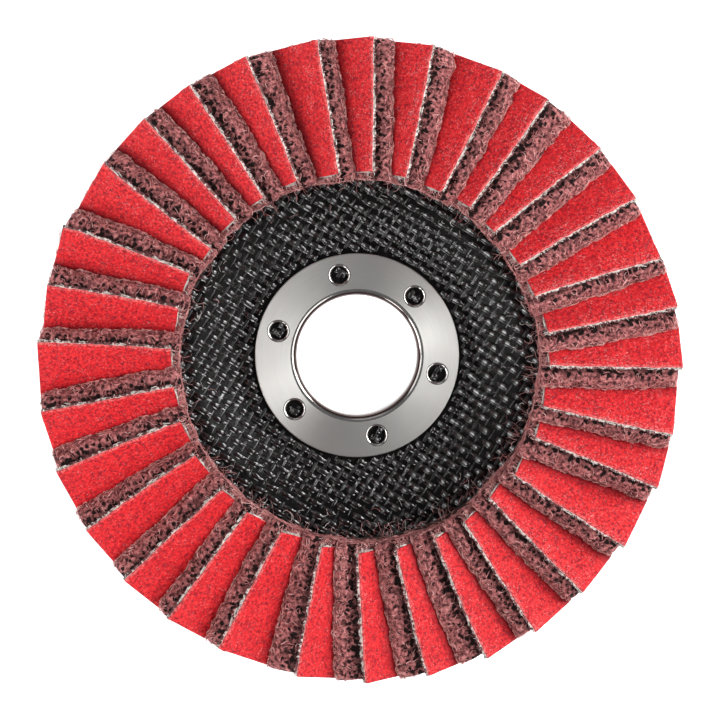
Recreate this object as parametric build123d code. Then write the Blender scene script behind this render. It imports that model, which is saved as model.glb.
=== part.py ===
from build123d import *
import math
import os

# ---------------------------------------------------------------------------
# Interleaved flap disc, 115 mm, for a 22.23 mm arbor. Millimetres.
#
# Frame: the origin is on the bore axis, in the plane of the hub's back face.
# +Z points towards the working side, so the disc lies on its hub with the
# flaps up. +Y is the disc's 12 o'clock. Angles are in degrees clockwise from
# +Y, as seen from the working side.
#
# Round the disc, each coated flap (cloth with abrasive grain on its upper
# face) has a nonwoven flap glued under it, and the next coated flap comes
# under that. All of them lean the same way: the root is low and the free
# edge, cut square, is high and faces clockwise.
# ---------------------------------------------------------------------------

# --- overall --------------------------------------------------------------
disc_d = 115.0            # across the flap tips
bore_d = 22.23            # arbor hole
flap_count = 32           # pairs of a coated and a nonwoven flap

# --- backing plate (moulded glass-fibre laminate, depressed centre) --------
plate_t = 3.0             # laminate thickness
hub_back_r = 23.2         # flat back of the hub
cone_back_r = 30.8        # where the cone meets the annulus, at the back
hub_offset = 4.5          # how far the annulus stands above the hub
plate_r = 53.5            # rim of the plate
plate_bend_r = 3.0        # moulded bends

# --- flange ring (pressed steel) --------------------------------------------
ring_t = 0.7              # sheet thickness
ring_r = 18.77            # outer radius of the flange
ring_bend_r = 1.15        # outside of the bend from the flange into the collar
collar_end_z = 0.0        # back end of the collar, flush with the hub's back
anchor_hole_r = 1.5       # the six small holes in the flange
anchor_edge_r = 0.58      # their rolled edge
anchor_pcd_r = 15.15      # distance of the holes from the axis
anchor_angles = (347.6, 44.2, 102.9, 166.1, 229.4, 287.4)

# --- adhesive bed ------------------------------------------------------------
bed_t = 1.2               # epoxy between the plate and the flaps' roots
bed_in_r = 33.2
bed_out_r = 53.1

# --- flaps ---------------------------------------------------------------------
coated_t = 1.1            # cloth and grain together
flap_top_z = 19.0         # height of the coated flaps' free edges
flap_root_z = hub_offset + plate_t + bed_t
lean_at_axis = 62.0       # lean of the flaps above the horizontal, in degrees,
lean_per_mm = 0.455       # less this much for each millimetre from the axis
gauge_in_r = 33.5         # radii at which the edge angles below are given
gauge_out_r = 57.5
outer_clip_r = 58.2       # no corner of a flap stands out further than this

# Free edge of each coated flap: its angle at the inner and the outer gauge
# radius. The flaps are set by hand and by eye, so the steps are uneven.
cut_in = (3.2, 13.6, 25.2, 35.1, 45.8, 58.5, 69.1, 81.0,
          90.9, 103.4, 113.1, 126.0, 136.0, 146.4, 156.6, 168.5,
          180.1, 191.2, 204.3, 216.2, 226.6, 239.9, 251.1, 261.7,
          273.4, 285.9, 297.0, 306.5, 318.2, 328.9, 340.3, 352.9)
cut_out = (2.1, 12.8, 26.0, 35.4, 48.3, 59.3, 71.0, 80.1,
           91.1, 103.1, 113.0, 124.9, 136.0, 146.9, 156.7, 167.6,
           178.8, 191.2, 206.0, 216.4, 226.9, 238.1, 249.8, 260.8,
           273.3, 283.6, 294.3, 307.5, 318.3, 328.1, 339.2, 352.2)
# Lower lip of each nonwoven flap, where it lies on the next coated flap.
lip_in = (9.4, 19.8, 31.0, 42.3, 53.6, 64.4, 75.9, 87.3,
          98.2, 108.8, 120.6, 131.1, 142.1, 153.1, 164.4, 175.1,
          187.5, 197.5, 209.4, 221.1, 232.6, 243.4, 255.5, 267.7,
          278.5, 290.5, 302.2, 312.4, 324.4, 335.5, 346.8, 358.1)
lip_out = (6.1, 17.5, 30.3, 41.5, 52.5, 62.9, 74.2, 84.4,
           95.3, 106.2, 116.5, 128.5, 139.4, 150.3, 162.0, 173.2,
           184.6, 196.7, 208.9, 219.2, 230.5, 241.9, 253.7, 263.8,
           275.5, 287.2, 298.2, 311.2, 321.8, 332.6, 344.1, 355.5)
# How far the square ends of each flap stand from the axis.
coated_end = (57.5, 57.4, 57.3, 57.3, 57.2, 57.2, 56.9, 57.6,
              57.9, 57.7, 58.2, 58.2, 58.0, 58.3, 58.3, 58.1,
              58.0, 57.9, 57.7, 57.6, 57.6, 57.4, 57.5, 57.4,
              57.4, 57.0, 57.5, 57.2, 57.5, 57.5, 57.6, 57.4)
coated_start = (33.8, 33.7, 33.4, 33.7, 33.3, 33.3, 33.3, 34.0,
                34.0, 33.8, 34.3, 34.4, 33.8, 34.4, 34.7, 34.4,
                34.5, 34.0, 33.7, 33.7, 33.7, 33.8, 33.7, 33.5,
                33.7, 33.5, 34.0, 33.3, 33.7, 33.8, 33.9, 33.5)
nonwoven_end = (57.6, 57.6, 57.5, 57.4, 57.3, 57.1, 57.2, 57.7,
                57.7, 58.0, 58.1, 58.0, 58.2, 58.1, 58.1, 58.2,
                58.2, 58.1, 57.7, 57.8, 57.7, 57.8, 57.6, 57.7,
                57.3, 57.3, 57.6, 57.5, 57.6, 57.6, 57.6, 57.5)
nonwoven_proud = 1.3      # the nonwoven flaps start this much nearer the axis

os.makedirs("parts", exist_ok=True)


def save(shape, node):
    shape.label = node
    export_step(shape, "parts/" + node + ".step")


# ---------------------------------------------------------------------------
# backing plate: one revolved laminate section
# ---------------------------------------------------------------------------
def backing_plate():
    collar_r = bore_d / 2 + ring_t
    slope = math.atan2(hub_offset, cone_back_r - hub_back_r)
    shift = plate_t * math.tan(slope / 2)
    z1 = hub_offset
    outline = [
        (collar_r, 0.0),
        (hub_back_r, 0.0),
        (cone_back_r, z1),
        (plate_r, z1),
        (plate_r, z1 + plate_t),
        (cone_back_r - shift, z1 + plate_t),
        (hub_back_r - shift, plate_t),
        (collar_r, plate_t),
    ]
    radii = {1: plate_bend_r, 2: plate_bend_r, 3: 0.4, 4: 0.4,
             5: plate_bend_r, 6: plate_bend_r, 7: 0.55}
    with BuildPart() as plate:
        with BuildSketch(Plane.XZ):
            with BuildLine():
                Polyline(*outline, close=True)
            make_face()
            for index, radius in radii.items():
                x, z = outline[index]
                corner = vertices().sort_by_distance(Vector(x, z, 0))[0]
                fillet(corner, radius)
        revolve(axis=Axis.Z)
    return plate.part


# ---------------------------------------------------------------------------
# flange ring: flat flange, rolled bend and collar in one sheet, six holes
# ---------------------------------------------------------------------------
def flange_ring():
    r_in = bore_d / 2
    z_face = plate_t + ring_t
    rb = ring_bend_r
    ri = ring_bend_r - ring_t
    c = math.cos(math.radians(45))
    with BuildPart() as ring:
        with BuildSketch(Plane.XZ):
            with BuildLine():
                Line((r_in, collar_end_z), (r_in, z_face - rb))
                ThreePointArc((r_in, z_face - rb),
                              (r_in + rb - rb * c, z_face - rb + rb * c),
                              (r_in + rb, z_face))
                Line((r_in + rb, z_face), (ring_r - 0.2, z_face))
                ThreePointArc((ring_r - 0.2, z_face),
                              (ring_r - 0.2 + 0.2 * c, z_face - 0.2 + 0.2 * c),
                              (ring_r, z_face - 0.2))
                Line((ring_r, z_face - 0.2), (ring_r, plate_t))
                Line((ring_r, plate_t), (r_in + rb, plate_t))
                ThreePointArc((r_in + rb, plate_t),
                              (r_in + rb - ri * c, plate_t - ri + ri * c),
                              (r_in + ring_t, plate_t - ri))
                Line((r_in + ring_t, plate_t - ri), (r_in + ring_t, collar_end_z))
                Line((r_in + ring_t, collar_end_z), (r_in, collar_end_z))
            make_face()
        revolve(axis=Axis.Z)
        # each hole is a turned plug: the bore and, above it, the rolled edge
        e = anchor_edge_r
        r = anchor_hole_r
        for angle in anchor_angles:
            a = math.radians(angle)
            spot = Location((anchor_pcd_r * math.sin(a),
                             anchor_pcd_r * math.cos(a), 0))
            with BuildSketch(Plane.XZ) as section:
                with BuildLine():
                    Line((0, plate_t - 0.5), (r, plate_t - 0.5))
                    Line((r, plate_t - 0.5), (r, z_face - e))
                    ThreePointArc((r, z_face - e),
                                  (r + e - e * c, z_face - e + e * c),
                                  (r + e, z_face))
                    Line((r + e, z_face), (r + e, z_face + 0.5))
                    Line((r + e, z_face + 0.5), (0, z_face + 0.5))
                    Line((0, z_face + 0.5), (0, plate_t - 0.5))
                make_face()
            plug = revolve(section.sketch, axis=Axis.Z, mode=Mode.PRIVATE)
            add(plug.moved(spot), mode=Mode.SUBTRACT)
    return ring.part


# ---------------------------------------------------------------------------
# adhesive bed: a flat ring of epoxy on the plate, under the flaps' roots
# ---------------------------------------------------------------------------
def adhesive_bed():
    z0 = hub_offset + plate_t
    outer = Pos(0, 0, z0) * Cylinder(bed_out_r, bed_t, align=(Align.CENTER, Align.CENTER, Align.MIN))
    inner = Pos(0, 0, z0 - 1) * Cylinder(bed_in_r, bed_t + 2, align=(Align.CENTER, Align.CENTER, Align.MIN))
    return outer - inner


# ---------------------------------------------------------------------------
# flaps
# ---------------------------------------------------------------------------
def lean(r):
    return math.radians(lean_at_axis - lean_per_mm * r)


def angle_at(angle_in, angle_out, r):
    """Angle, at radius r, of the straight line in plan through two points
    given by their angles at the gauge radii."""
    a, b = math.radians(angle_in), math.radians(angle_out)
    p = (gauge_in_r * math.sin(a), gauge_in_r * math.cos(a))
    q = (gauge_out_r * math.sin(b), gauge_out_r * math.cos(b))
    length = math.hypot(q[0] - p[0], q[1] - p[1])
    d = ((q[0] - p[0]) / length, (q[1] - p[1]) / length)
    half = p[0] * d[0] + p[1] * d[1]
    t = -half + math.sqrt(half * half - (p[0] ** 2 + p[1] ** 2) + r * r)
    return math.atan2(p[0] + t * d[0], p[1] + t * d[1])


def wrap(a):
    return (a + math.pi) % (2 * math.pi) - math.pi


def point(r, a, z):
    return (r * math.sin(a), r * math.cos(a), z)


def stations(i, r):
    """The points of coated flap i in a section at radius r, as (angle, z).
    A, B, C run up its grain side: root, where the flap before it ends, and
    free edge. D and E are the free edge and the root of its cloth side."""
    th = lean(r)
    cut = angle_at(cut_in[i], cut_out[i], r)
    j = (i - 1) % flap_count
    lip = angle_at(lip_in[j], lip_out[j], r)
    run = wrap(cut - lip) * r
    rise = flap_top_z - flap_root_z
    a = (cut - rise / math.tan(th) / r, flap_root_z)
    b = (cut - run / r, flap_top_z - run * math.tan(th))
    c = (cut, flap_top_z)
    d = (cut + coated_t * math.sin(th) / r, flap_top_z - coated_t * math.cos(th))
    e = (a[0] + coated_t / math.sin(th) / r, flap_root_z)
    return a, b, c, d, e


r0, r1 = 30.5, 61.0       # the flaps are made too long, then cut square


def closed(sections):
    """A solid between two sections (lists of points), with ruled sides."""
    near, far = sections
    n = len(near)
    faces = []
    for k in range(n):
        m = (k + 1) % n
        faces.append(Face.make_bezier_surface([[near[k], near[m]], [far[k], far[m]]]))
    for ring_points in (near, far):
        for k in range(1, n - 1):
            wire = Wire.make_polygon([ring_points[0], ring_points[k], ring_points[k + 1]], close=True)
            faces.append(Face(wire))
    solid = Solid(Shell(faces))
    if solid.volume < 0:
        solid = Solid(Shell([-f for f in faces]))
    return solid


def square_ends(solid, mid_angle, start, end):
    """Cut the flap off square at both ends, and round with the disc."""
    e = (math.sin(mid_angle), math.cos(mid_angle))
    width = 60.0
    block = Box(width, end - start, 40.0, align=(Align.CENTER, Align.MIN, Align.MIN))
    block = Rot(0, 0, -math.degrees(mid_angle)) * (Pos(0, start, 0) * block)
    drum = Cylinder(outer_clip_r, 40.0, align=(Align.CENTER, Align.CENTER, Align.MIN))
    out = solid & block & drum
    solids = out.solids()
    return max(solids, key=lambda s: s.volume)


def coated_flap(i):
    near = [point(r0, *s) for s in stations(i, r0)]
    far = [point(r1, *s) for s in stations(i, r1)]
    j = (i - 1) % flap_count
    a = angle_at(lip_in[j], lip_out[j], 45.0)
    b = angle_at(cut_in[i], cut_out[i], 45.0)
    mid = a + wrap(b - a) / 2
    return square_ends(closed((near, far)), mid, coated_start[i], coated_end[i])


def nonwoven_flap(i):
    sections = []
    for r in (r0, r1):
        a, b, c, d, e = stations(i, r)
        na, nb = stations((i + 1) % flap_count, r)[:2]
        sections.append([point(r, *s) for s in (e, d, nb, na)])
    a = angle_at(cut_in[i], cut_out[i], 45.0)
    b = angle_at(lip_in[i], lip_out[i], 45.0)
    mid = a + wrap(b - a) / 2
    return square_ends(closed(sections), mid, coated_start[i] - nonwoven_proud, nonwoven_end[i])


# ---------------------------------------------------------------------------
# write the pieces
# ---------------------------------------------------------------------------
save(backing_plate(), "backing_plate")
save(flange_ring(), "flange_ring")
save(adhesive_bed(), "adhesive_bed")

for i in range(flap_count):
    save(coated_flap(i), "coated_flap_%02d" % (i + 1))

# neighbouring nonwoven flaps share a file in pairs, as separate solids
for k in range(flap_count // 2):
    pair = Compound(children=[nonwoven_flap(2 * k), nonwoven_flap(2 * k + 1)])
    save(pair, "nonwoven_flaps_%02d_%02d" % (2 * k + 1, 2 * k + 2))
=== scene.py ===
import math

import bmesh
import bpy
import numpy as np
from mathutils import Matrix, Vector


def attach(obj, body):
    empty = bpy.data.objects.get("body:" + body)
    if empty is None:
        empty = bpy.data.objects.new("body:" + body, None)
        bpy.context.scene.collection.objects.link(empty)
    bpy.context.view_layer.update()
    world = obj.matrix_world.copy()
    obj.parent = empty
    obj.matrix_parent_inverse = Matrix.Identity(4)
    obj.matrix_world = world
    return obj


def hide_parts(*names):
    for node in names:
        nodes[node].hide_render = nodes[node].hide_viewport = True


# ---------------------------------------------------------------------------
# Interleaved flap disc. Lengths below are in millimetres, in the frame of the
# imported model, and turn into metres where a mesh is made. Angles are clockwise
# from +Y as seen from the working side.
# ---------------------------------------------------------------------------
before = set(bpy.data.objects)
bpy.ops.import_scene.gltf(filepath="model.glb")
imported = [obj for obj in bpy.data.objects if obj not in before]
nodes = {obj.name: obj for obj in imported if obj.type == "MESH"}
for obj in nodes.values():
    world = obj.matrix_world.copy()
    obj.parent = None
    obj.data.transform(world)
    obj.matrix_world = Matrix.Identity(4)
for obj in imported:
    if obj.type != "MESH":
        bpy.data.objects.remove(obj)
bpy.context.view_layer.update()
rng = np.random.default_rng(20)
MM = 0.001

COUNT = 32
TOP_Z, ROOT_Z, COAT_T = 19.0, 8.7, 1.1
GAUGE_IN, GAUGE_OUT = 33.5, 57.5
R0, R1 = 30.5, 61.0
NONWOVEN_PROUD = 1.3

cut_in = (3.2, 13.6, 25.2, 35.1, 45.8, 58.5, 69.1, 81.0,
          90.9, 103.4, 113.1, 126.0, 136.0, 146.4, 156.6, 168.5,
          180.1, 191.2, 204.3, 216.2, 226.6, 239.9, 251.1, 261.7,
          273.4, 285.9, 297.0, 306.5, 318.2, 328.9, 340.3, 352.9)
cut_out = (2.1, 12.8, 26.0, 35.4, 48.3, 59.3, 71.0, 80.1,
           91.1, 103.1, 113.0, 124.9, 136.0, 146.9, 156.7, 167.6,
           178.8, 191.2, 206.0, 216.4, 226.9, 238.1, 249.8, 260.8,
           273.3, 283.6, 294.3, 307.5, 318.3, 328.1, 339.2, 352.2)
lip_in = (9.4, 19.8, 31.0, 42.3, 53.6, 64.4, 75.9, 87.3,
          98.2, 108.8, 120.6, 131.1, 142.1, 153.1, 164.4, 175.1,
          187.5, 197.5, 209.4, 221.1, 232.6, 243.4, 255.5, 267.7,
          278.5, 290.5, 302.2, 312.4, 324.4, 335.5, 346.8, 358.1)
lip_out = (6.1, 17.5, 30.3, 41.5, 52.5, 62.9, 74.2, 84.4,
           95.3, 106.2, 116.5, 128.5, 139.4, 150.3, 162.0, 173.2,
           184.6, 196.7, 208.9, 219.2, 230.5, 241.9, 253.7, 263.8,
           275.5, 287.2, 298.2, 311.2, 321.8, 332.6, 344.1, 355.5)
coated_end = (57.5, 57.4, 57.3, 57.3, 57.2, 57.2, 56.9, 57.6,
              57.9, 57.7, 58.2, 58.2, 58.0, 58.3, 58.3, 58.1,
              58.0, 57.9, 57.7, 57.6, 57.6, 57.4, 57.5, 57.4,
              57.4, 57.0, 57.5, 57.2, 57.5, 57.5, 57.6, 57.4)
coated_start = (33.8, 33.7, 33.4, 33.7, 33.3, 33.3, 33.3, 34.0,
                34.0, 33.8, 34.3, 34.4, 33.8, 34.4, 34.7, 34.4,
                34.5, 34.0, 33.7, 33.7, 33.7, 33.8, 33.7, 33.5,
                33.7, 33.5, 34.0, 33.3, 33.7, 33.8, 33.9, 33.5)
nonwoven_end = (57.6, 57.6, 57.5, 57.4, 57.3, 57.1, 57.2, 57.7,
                57.7, 58.0, 58.1, 58.0, 58.2, 58.1, 58.1, 58.2,
                58.2, 58.1, 57.7, 57.8, 57.7, 57.8, 57.6, 57.7,
                57.3, 57.3, 57.6, 57.5, 57.6, 57.6, 57.6, 57.5)
# how far each outer end is out of square, in degrees
coated_skew = (3.9, 2.8, 0.1, 0.7, -2.0, -1.2, -4.6, 1.4,
               -0.5, -0.5, -1.0, -0.7, -2.2, -1.3, 1.1, 0.3,
               2.4, -0.8, -4.3, -2.3, -1.2, 0.7, 0.8, 1.6,
               -0.5, 2.5, 4.4, 2.2, 1.1, 1.7, 3.5, 1.8)
nonwoven_skew = (1.2, -2.6, -1.0, -0.1, -3.6, 8.2, 12.8, 9.1,
                 3.8, 0.4, 2.8, 0.3, -0.7, 9.7, 9.6, 5.0,
                 11.5, 9.9, 6.3, -2.7, 2.0, 6.9, 3.2, 5.4,
                 -9.6, 2.5, -10.0, 0.2, -0.5, 1.9, -2.7, -4.3)
# how far the middle of each edge bows from straight, clockwise
cut_bow = (0.13, 0.08, 0.09, 0.16, -0.16, -0.25, -0.13, 0.12,
           0.08, 0.15, -0.06, 0.18, 0.07, 0.10, 0.18, 0.25,
           0.11, 0.06, -0.02, 0.07, 0.06, 0.20, 0.21, 0.02,
           0.08, 0.21, 0.20, -0.16, -0.03, 0.10, 0.16, 0.01)
lip_bow = (0.22, 0.39, 0.04, 0.04, 0.00, -0.03, 0.04, 0.43,
           0.22, 0.02, 0.02, 0.12, 0.31, 0.18, 0.19, 0.08,
           0.21, 0.39, 0.27, 0.06, -0.27, 0.25, 0.25, 0.25,
           0.20, 0.15, 0.42, 0.25, 0.22, 0.66, -0.10, 0.20)


# ---------------------------------------------------------------------------
# node helpers
# ---------------------------------------------------------------------------
def new_material(name):
    m = bpy.data.materials.new(name)
    m.use_nodes = True
    nt = m.node_tree
    nt.nodes.clear()
    out = nt.nodes.new("ShaderNodeOutputMaterial")
    shader = nt.nodes.new("ShaderNodeBsdfPrincipled")
    nt.links.new(shader.outputs[0], out.inputs[0])
    return m, nt, shader


def coords(nt):
    return nt.nodes.new("ShaderNodeTexCoord").outputs["Object"]


def noise(nt, vector, scale, detail=2.0, rough=0.5):
    n = nt.nodes.new("ShaderNodeTexNoise")
    n.inputs["Scale"].default_value = scale
    n.inputs["Detail"].default_value = detail
    n.inputs["Roughness"].default_value = rough
    nt.links.new(vector, n.inputs["Vector"])
    return n.outputs["Fac"]


def cells(nt, vector, scale):
    n = nt.nodes.new("ShaderNodeTexVoronoi")
    n.inputs["Scale"].default_value = scale
    nt.links.new(vector, n.inputs["Vector"])
    return n.outputs["Distance"], n.outputs["Color"]


def ramp(nt, fac, stops, smooth=False):
    n = nt.nodes.new("ShaderNodeValToRGB")
    r = n.color_ramp
    if smooth:
        r.interpolation = "EASE"
    while len(r.elements) < len(stops):
        r.elements.new(0.5)
    for e, (p, c) in zip(r.elements, stops):
        e.position = p
        e.color = (*c, 1.0) if isinstance(c, tuple) else (c, c, c, 1.0)
    nt.links.new(fac, n.inputs[0])
    return n.outputs[0]


def mix(nt, fac, a, b, kind="MIX"):
    n = nt.nodes.new("ShaderNodeMix")
    n.data_type = "RGBA"
    n.blend_type = kind
    for value, socket in ((fac, n.inputs[0]), (a, n.inputs[6]), (b, n.inputs[7])):
        if isinstance(value, tuple):
            socket.default_value = (*value, 1.0)
        elif isinstance(value, (int, float)):
            socket.default_value = value
        else:
            nt.links.new(value, socket)
    return n.outputs[2]


def maths(nt, op, a, b=None, c=None):
    n = nt.nodes.new("ShaderNodeMath")
    n.operation = op
    for value, socket in zip((a, b, c), n.inputs):
        if value is None:
            continue
        if isinstance(value, (int, float)):
            socket.default_value = value
        else:
            nt.links.new(value, socket)
    return n.outputs[0]


def bump(nt, shader, height, distance, strength=1.0):
    n = nt.nodes.new("ShaderNodeBump")
    n.inputs["Distance"].default_value = distance
    n.inputs["Strength"].default_value = strength
    nt.links.new(height, n.inputs["Height"])
    nt.links.new(n.outputs[0], shader.inputs["Normal"])


def attribute(nt, name):
    n = nt.nodes.new("ShaderNodeAttribute")
    n.attribute_name = name
    return n.outputs["Fac"]


# ---------------------------------------------------------------------------
# materials
# ---------------------------------------------------------------------------
def grain_material():
    """Red ceramic grain in a red size coat: mottled, with darker pits, a few
    bare pinkish grains and a paler rim along the cut."""
    m, nt, s = new_material("red_grain")
    c = coords(nt)
    fine = noise(nt, c, 1900.0, 3.0, 0.65)
    wide = noise(nt, c, 90.0, 2.0, 0.5)
    d, random = cells(nt, c, 2300.0)
    colour = ramp(nt, fine, [(0.32, (0.30, 0.006, 0.016)), (0.45, (0.62, 0.013, 0.022)),
                             (0.56, (0.84, 0.023, 0.028)), (0.74, (0.93, 0.045, 0.048))])
    colour = mix(nt, ramp(nt, wide, [(0.35, 0.0), (0.70, 0.22)]), colour, (0.60, 0.012, 0.020))
    grey = nt.nodes.new("ShaderNodeRGBToBW")
    nt.links.new(random, grey.inputs[0])
    colour = mix(nt, ramp(nt, grey.outputs[0], [(0.14, 0.7), (0.24, 0.0)]), colour, (0.24, 0.006, 0.018))
    # bare grains and dust: small pale specks, thicker towards the cut edge; the extra specks on the upper right-hand
    # flaps are a painted glint of raking light
    dust = noise(nt, c, 3300.0, 2.0, 0.7)
    patch = noise(nt, c, 420.0, 2.0, 0.6)
    near = attribute(nt, "dust")
    level = maths(nt, "ADD", maths(nt, "MULTIPLY_ADD", patch, 0.22, maths(nt, "MULTIPLY", dust, 0.90)),
                  maths(nt, "MULTIPLY", near, 0.055))
    colour = mix(nt, ramp(nt, level, [(0.66, 0.0), (0.76, 0.60)]), colour, (0.88, 0.38, 0.38))
    # painted shade: the strip beside the lip of the flap before is darkened where the lip's shadow falls, more on some
    # flaps than others
    colour = mix(nt, maths(nt, "MULTIPLY", attribute(nt, "deep"), ramp(nt, wide, [(0.3, 0.78), (0.7, 1.0)])),
                 colour, (0.18, 0.003, 0.008))
    rim = maths(nt, "MULTIPLY", attribute(nt, "rim"), ramp(nt, fine, [(0.44, 0.05), (0.60, 0.55)]))
    colour = mix(nt, rim, colour, (0.88, 0.36, 0.34))
    nt.links.new(colour, s.inputs["Base Color"])
    nt.links.new(ramp(nt, fine, [(0.3, 0.75), (0.75, 0.45)]), s.inputs["Roughness"])
    s.inputs["Specular IOR Level"].default_value = 0.26
    height = maths(nt, "ADD", fine, maths(nt, "MULTIPLY", d, -0.55))
    bump(nt, s, height, 0.0002, 0.85)
    return m


def cloth_material():
    """Off-white polyester cotton cloth, as its cut edge and loose threads show it."""
    m, nt, s = new_material("backing_cloth")
    c = coords(nt)
    n = noise(nt, c, 1900.0, 3.0, 0.6)
    pale = ramp(nt, n, [(0.30, (0.42, 0.36, 0.33)), (0.50, (0.78, 0.74, 0.69)), (0.68, (0.92, 0.90, 0.86))])
    dull = ramp(nt, n, [(0.35, (0.035, 0.015, 0.016)), (0.65, (0.26, 0.11, 0.11))])
    # a vertex value darkens the cloth to a dull maroon: dirt and grain over it, and painted shade low on the cut edge
    # and under the flap
    level = maths(nt, "ADD", attribute(nt, "soil"), maths(nt, "MULTIPLY_ADD", n, 0.9, -0.45))
    nt.links.new(mix(nt, ramp(nt, level, [(0.38, 0.0), (0.60, 1.0)]), pale, dull), s.inputs["Base Color"])
    s.inputs["Roughness"].default_value = 0.8
    s.inputs["Specular IOR Level"].default_value = 0.3
    bump(nt, s, n, 0.00012, 0.7)
    return m


def web_material():
    """The deep part of the nonwoven web, between the fibres that stand proud."""
    m, nt, s = new_material("web_core")
    c = coords(nt)
    n = noise(nt, c, 1500.0, 3.0, 0.6)
    light = ramp(nt, n, [(0.36, (0.060, 0.020, 0.021)), (0.50, (0.300, 0.098, 0.098)), (0.64, (0.620, 0.240, 0.232))])
    # pores: roundish holes, scattered at the lip; beside the cloth a vertex value runs them together into dark, which
    # is painted shade in the recess under the cut edge as well as pores
    d, _ = cells(nt, c, 1000.0)
    hole = ramp(nt, maths(nt, "ADD", d, maths(nt, "MULTIPLY_ADD", n, 0.6, -0.3)), [(0.28, 1.0), (0.56, 0.0)])
    level = maths(nt, "ADD", attribute(nt, "open"), maths(nt, "MULTIPLY_ADD", hole, 0.7, -0.35))
    colour = mix(nt, ramp(nt, level, [(0.36, 0.0), (0.70, 1.0)]), light, (0.013, 0.0055, 0.0055))
    nt.links.new(colour, s.inputs["Base Color"])
    s.inputs["Roughness"].default_value = 0.85
    s.inputs["Specular IOR Level"].default_value = 0.2
    bump(nt, s, n, 0.0003, 0.8)
    return m


def fibre_material():
    """Nylon fibres coated with resin and mineral; tone runs from deep maroon to dusty pink."""
    m, nt, s = new_material("web_fibre")
    c = coords(nt)
    n = noise(nt, c, 2600.0, 2.0, 0.6)
    tone = maths(nt, "ADD", attribute(nt, "tone"), maths(nt, "MULTIPLY_ADD", n, 0.4, -0.2))
    nt.links.new(ramp(nt, tone, [(0.0, (0.080, 0.024, 0.027)), (0.30, (0.360, 0.115, 0.116)),
                                 (0.65, (0.740, 0.280, 0.270)), (1.0, (0.900, 0.530, 0.500))]),
                 s.inputs["Base Color"])
    s.inputs["Roughness"].default_value = 0.6
    s.inputs["Specular IOR Level"].default_value = 0.35
    return m


def polar(nt, c):
    sep = nt.nodes.new("ShaderNodeSeparateXYZ")
    nt.links.new(c, sep.inputs[0])
    x, y, z = sep.outputs
    r = maths(nt, "SQRT", maths(nt, "ADD", maths(nt, "MULTIPLY", x, x), maths(nt, "MULTIPLY", y, y)))
    return x, y, z, r


def steel_material():
    """Pressed steel, turned bright: fine scratches run round the axis."""
    m, nt, s = new_material("brushed_steel")
    c = coords(nt)
    x, y, z, r = polar(nt, c)
    # scratches: fast along the radius, slow round the axis
    comb = nt.nodes.new("ShaderNodeCombineXYZ")
    nt.links.new(maths(nt, "MULTIPLY", r, 60.0), comb.inputs[0])
    nt.links.new(x, comb.inputs[1])
    nt.links.new(y, comb.inputs[2])
    lines = noise(nt, comb.outputs[0], 190.0, 3.0, 0.6)
    cloud = noise(nt, c, 240.0, 2.0, 0.5)
    nt.links.new(mix(nt, ramp(nt, lines, [(0.30, 0.0), (0.70, 1.0)]), (0.885, 0.868, 0.828), (0.960, 0.944, 0.908)),
                 s.inputs["Base Color"])
    rough = maths(nt, "ADD", maths(nt, "MULTIPLY_ADD", lines, 0.12, 0.345), maths(nt, "MULTIPLY", cloud, 0.05))
    nt.links.new(rough, s.inputs["Roughness"])
    s.inputs["Metallic"].default_value = 1.0
    s.inputs["Anisotropic"].default_value = 0.8
    s.inputs["Anisotropic Rotation"].default_value = 0.25
    tangent = nt.nodes.new("ShaderNodeTangent")
    tangent.direction_type = "RADIAL"
    tangent.axis = "Z"
    nt.links.new(tangent.outputs[0], s.inputs["Tangent"])
    bump(nt, s, lines, 0.000012, 0.35)
    return m


def rolled_steel_material():
    """The same steel where it was rolled over: smooth, without the turning lines,
    with a dark brownish band where the collar turns down into the bore: painted shade and a painted reflection of the
    red flaps."""
    m, nt, s = new_material("rolled_steel")
    c = coords(nt)
    n = noise(nt, c, 900.0, 2.0, 0.5)
    r = polar(nt, c)[3]
    # painted shade and reflection: a dark brownish band where the collar turns down into the bore
    turned = ramp(nt, maths(nt, "MULTIPLY", r, 50.0), [(0.575, 1.0), (0.597, 0.0)])
    colour = ramp(nt, n, [(0.3, (0.54, 0.52, 0.50)), (0.7, (0.62, 0.60, 0.575))])
    nt.links.new(mix(nt, turned, colour, (0.105, 0.075, 0.070)), s.inputs["Base Color"])
    nt.links.new(ramp(nt, n, [(0.3, 0.10), (0.7, 0.17)]), s.inputs["Roughness"])
    s.inputs["Metallic"].default_value = 1.0
    return m


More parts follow.
